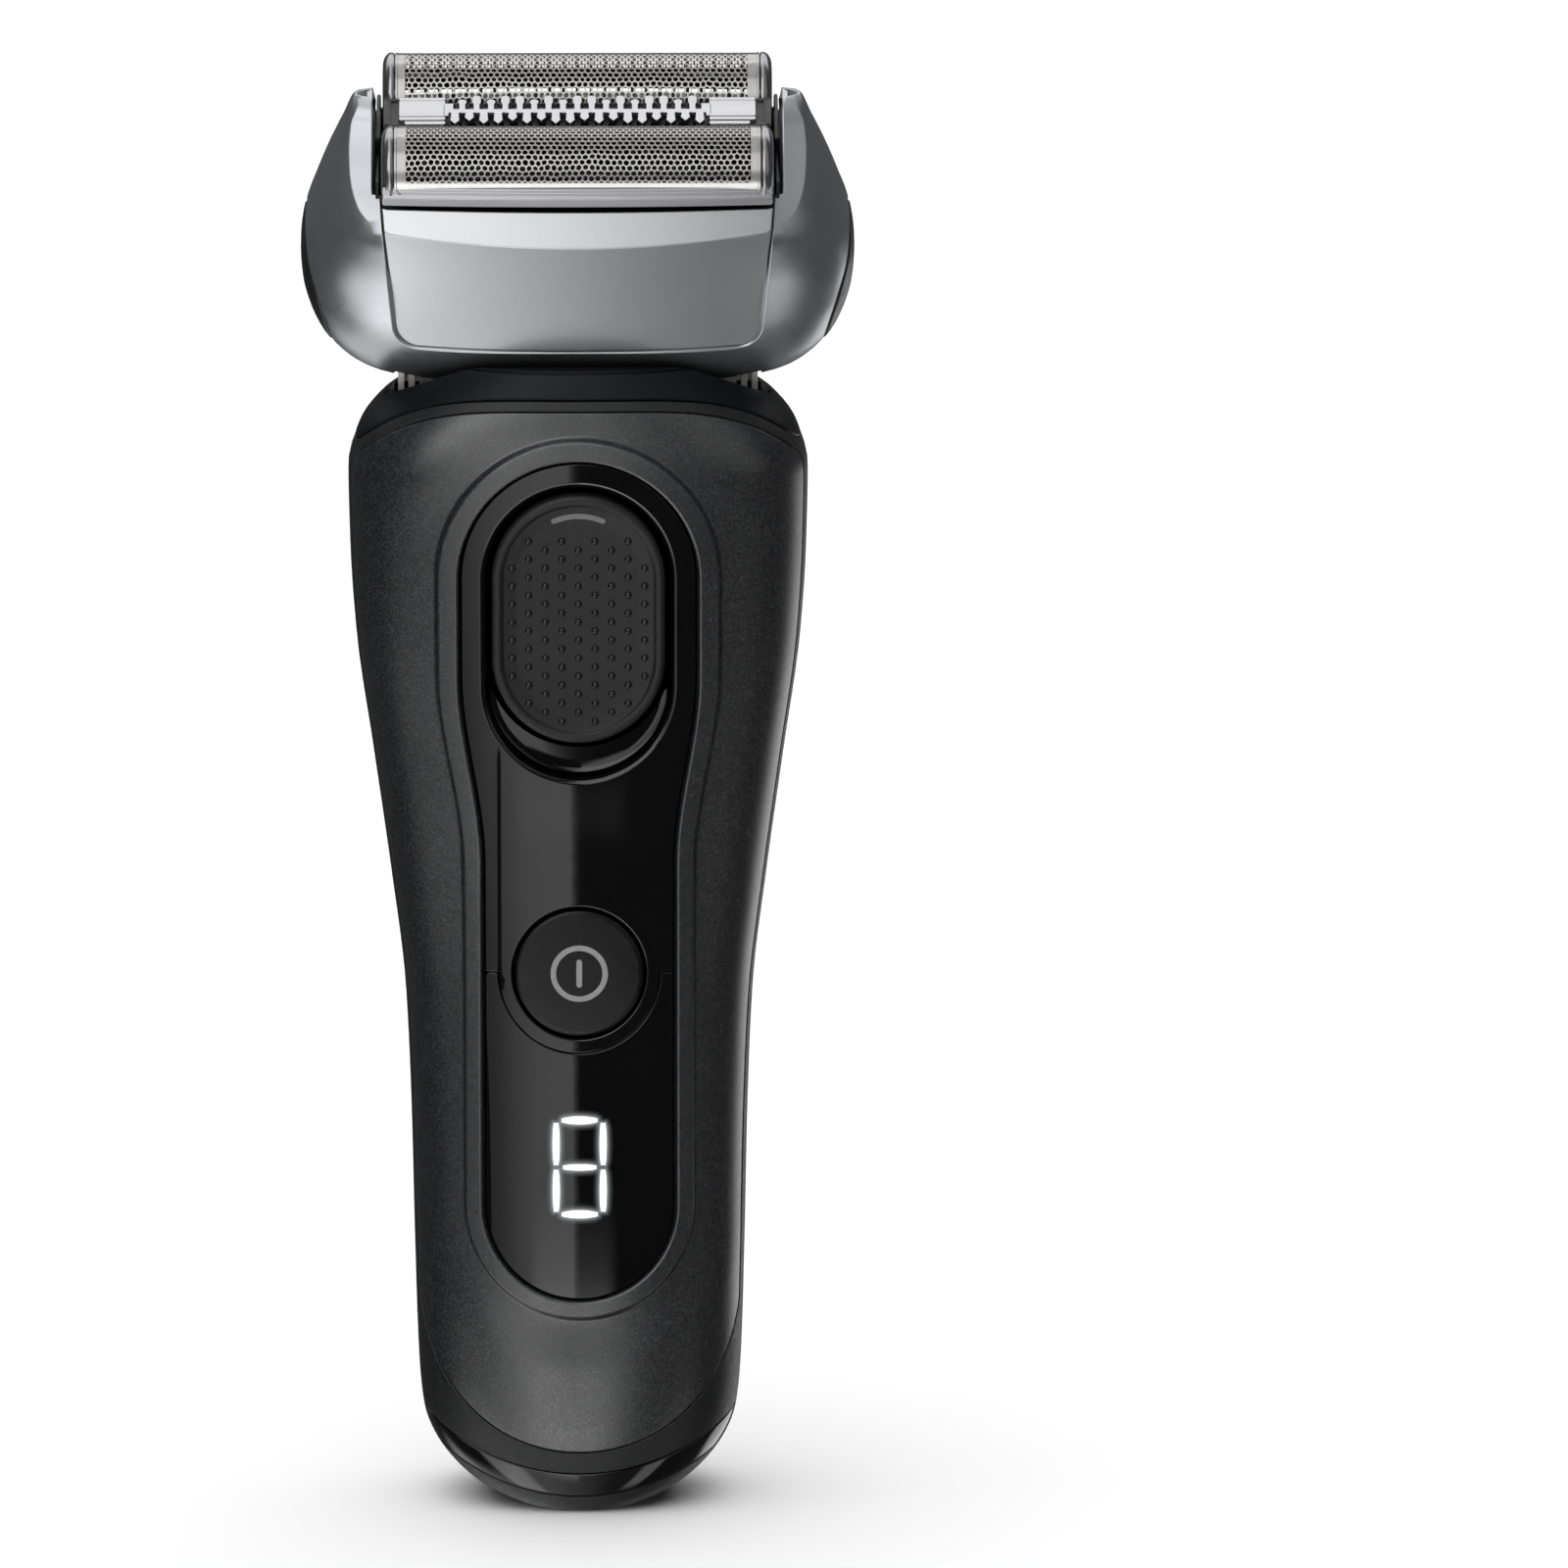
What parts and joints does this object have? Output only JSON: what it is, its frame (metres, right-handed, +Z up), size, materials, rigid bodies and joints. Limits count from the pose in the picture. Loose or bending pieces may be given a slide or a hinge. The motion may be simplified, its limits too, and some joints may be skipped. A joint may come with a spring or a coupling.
{
  "type": "electric foil shaver",
  "caption": "Upright cordless foil shaver: waisted black handle with glossy control panel and lit digit, tilted metallic swivel head with foils and a middle trimmer.",
  "frame": {"origin": "centre of the flat base the shaver stands on", "axes": "+Z up along the handle, front with the panel faces -Y, +X to the viewer's right"},
  "size_m": [0.0638, 0.0381, 0.168],
  "materials": {
    "soft_black": "soft-touch matte",
    "graphite": "fine metallic satin",
    "gloss_black": "polished",
    "window_black": "polished lens",
    "digit_white": "lit",
    "module_white": "moulded",
    "seal_rubber": "matte",
    "frame_grey": "moulded",
    "battery_sleeve": "shrink film",
    "nickel": "plain",
    "board_green": "solder mask",
    "chip_black": "moulded",
    "switch_steel": "plain",
    "screw_steel": "plain",
    "socket_black": "moulded",
    "contact_gold": "plated",
    "contact_steel": "polished",
    "lead_orange": "film",
    "yoke_steel": "pressed",
    "button_black": "satin gloss",
    "mark_grey": "printed",
    "pad_rubber": "matte",
    "latch_grey": "moulded",
    "slide_grey": "satin",
    "blade_steel": "ground",
    "gunmetal": "satin metallised",
    "panel_silver": "satin metallised",
    "inner_black": "moulded",
    "core_steel": "laminated",
    "coil_copper": "enamelled wire",
    "pin_steel": "ground",
    "spring_steel": "wire",
    "button_rubber": "soft-touch",
    "armature_steel": "plain",
    "cassette_black": "moulded",
    "trim_silver": "satin metallised",
    "foil_steel": "electroformed",
    "cap_grey": "satin",
    "cutter_steel": "ground",
    "comb_steel": "polished"
  },
  "bodies": {
    "handle": {"rear_housing": "soft_black", "front_cover": "graphite", "collar": "soft_black", "base_band": "gloss_black", "base_foot": "soft_black", "fascia": "gloss_black", "display_window": "window_black", "display_digit": "digit_white", "display_module": "module_white", "collar_gasket": "seal_rubber", "inner_frame": "frame_grey", "battery": "battery_sleeve", "battery_tabs": "nickel", "circuit_board": "board_green", "board_components": "chip_black", "power_switch": "switch_steel", "board_screws": "screw_steel", "charge_socket": "socket_black", "charge_pins": "contact_gold", "clean_contacts": "contact_steel", "motor_lead": "lead_orange", "swivel_yoke": "yoke_steel", "trimmer_rail": "soft_black"},
    "power_button": {"power_button": "button_black", "power_icon": "mark_grey"},
    "lock_slider": {"lock_slider": "pad_rubber", "slider_mark": "mark_grey", "slider_latch": "latch_grey"},
    "long_trimmer": {"trimmer_slide": "slide_grey", "hair_comb": "blade_steel"},
    "hair_blade": {"hair_blade": "blade_steel"},
    "head": {"head_frame": "gunmetal", "front_panel": "panel_silver", "rear_panel": "panel_silver", "head_chassis": "inner_black", "drive_seal": "seal_rubber", "motor_core": "core_steel", "motor_coil": "coil_copper", "swivel_pins": "pin_steel", "release_springs": "spring_steel"},
    "release_left": {"release_left": "button_rubber"},
    "release_right": {"release_right": "button_rubber"},
    "armature_front": {"armature_front": "armature_steel"},
    "armature_rear": {"armature_rear": "armature_steel"},
    "cassette": {"cassette_frame": "cassette_black", "cassette_trim": "trim_silver", "float_springs": "spring_steel"},
    "foil_front": {"foil_front": "foil_steel", "foil_caps_front": "cap_grey"},
    "foil_rear": {"foil_rear": "foil_steel", "foil_caps_rear": "cap_grey"},
    "cutter_front": {"cutter_front": "cutter_steel"},
    "cutter_rear": {"cutter_rear": "cutter_steel"},
    "mid_trimmer": {"trimmer_holder": "cassette_black", "trimmer_comb": "comb_steel"},
    "mid_blade": {"trimmer_blade": "blade_steel"}
  },
  "joints": [
    {"name": "power_press", "type": "slide", "parent": "handle", "child": "power_button", "axis": [0, 1, 0], "range_m": [0, 0.0006], "stiffness_N_per_m": 2500, "springref_m": -0.0004},
    {"name": "head_lock_slide", "type": "slide", "parent": "handle", "child": "lock_slider", "axis": [0, 0.03, -0.9995], "range_m": [0, 0.0036]},
    {"name": "long_trimmer_slide", "type": "slide", "parent": "handle", "child": "long_trimmer", "axis": [0, 0, 1], "range_m": [0, 0.009]},
    {"name": "hair_blade_slide", "type": "slide", "parent": "long_trimmer", "child": "hair_blade", "axis": [1, 0, 0], "range_m": [-0.0006, 0.0006]},
    {"name": "head_swivel", "type": "hinge", "parent": "handle", "child": "head", "pos_m": [0, 0.001, 0.1484], "axis": [1, 0, 0], "range_deg": [-39, 1]},
    {"name": "release_left_press", "type": "slide", "parent": "head", "child": "release_left", "axis": [1, 0, 0], "range_m": [0, 0.0012], "stiffness_N_per_m": 2000, "springref_m": -0.0003},
    {"name": "release_right_press", "type": "slide", "parent": "head", "child": "release_right", "axis": [-1, 0, 0], "range_m": [0, 0.0012], "stiffness_N_per_m": 2000, "springref_m": -0.0003},
    {"name": "armature_front_slide", "type": "slide", "parent": "head", "child": "armature_front", "axis": [1, 0, 0], "range_m": [-0.001, 0.001], "stiffness_N_per_m": 3000},
    {"name": "armature_rear_slide", "type": "slide", "parent": "head", "child": "armature_rear", "axis": [1, 0, 0], "range_m": [-0.001, 0.001]},
    {"name": "cassette_lift", "type": "slide", "parent": "head", "child": "cassette", "axis": [0, -0.3256, 0.9455], "range_m": [0, 0.014]},
    {"name": "foil_front_float", "type": "slide", "parent": "cassette", "child": "foil_front", "axis": [0, 0.3256, -0.9455], "range_m": [0, 0.0008], "stiffness_N_per_m": 900, "springref_m": -0.0008},
    {"name": "foil_rear_float", "type": "slide", "parent": "cassette", "child": "foil_rear", "axis": [0, 0.3256, -0.9455], "range_m": [0, 0.0008], "stiffness_N_per_m": 900, "springref_m": -0.0008},
    {"name": "mid_trimmer_float", "type": "slide", "parent": "cassette", "child": "mid_trimmer", "axis": [0, 0.3256, -0.9455], "range_m": [0, 0.0008], "stiffness_N_per_m": 900, "springref_m": -0.0008},
    {"name": "cutter_front_slide", "type": "slide", "parent": "foil_front", "child": "cutter_front", "axis": [1, 0, 0], "range_m": [-0.001, 0.001]},
    {"name": "cutter_rear_slide", "type": "slide", "parent": "foil_rear", "child": "cutter_rear", "axis": [1, 0, 0], "range_m": [-0.001, 0.001]},
    {"name": "mid_blade_slide", "type": "slide", "parent": "mid_trimmer", "child": "mid_blade", "axis": [1, 0, 0], "range_m": [-0.001, 0.001]}
  ],
  "couplings": [
    {"joint": "armature_rear_slide", "follows": "armature_front_slide", "ratio": -1},
    {"joint": "cutter_front_slide", "follows": "armature_front_slide", "ratio": 1},
    {"joint": "mid_blade_slide", "follows": "armature_front_slide", "ratio": 1},
    {"joint": "cutter_rear_slide", "follows": "armature_front_slide", "ratio": -1}
  ]
}
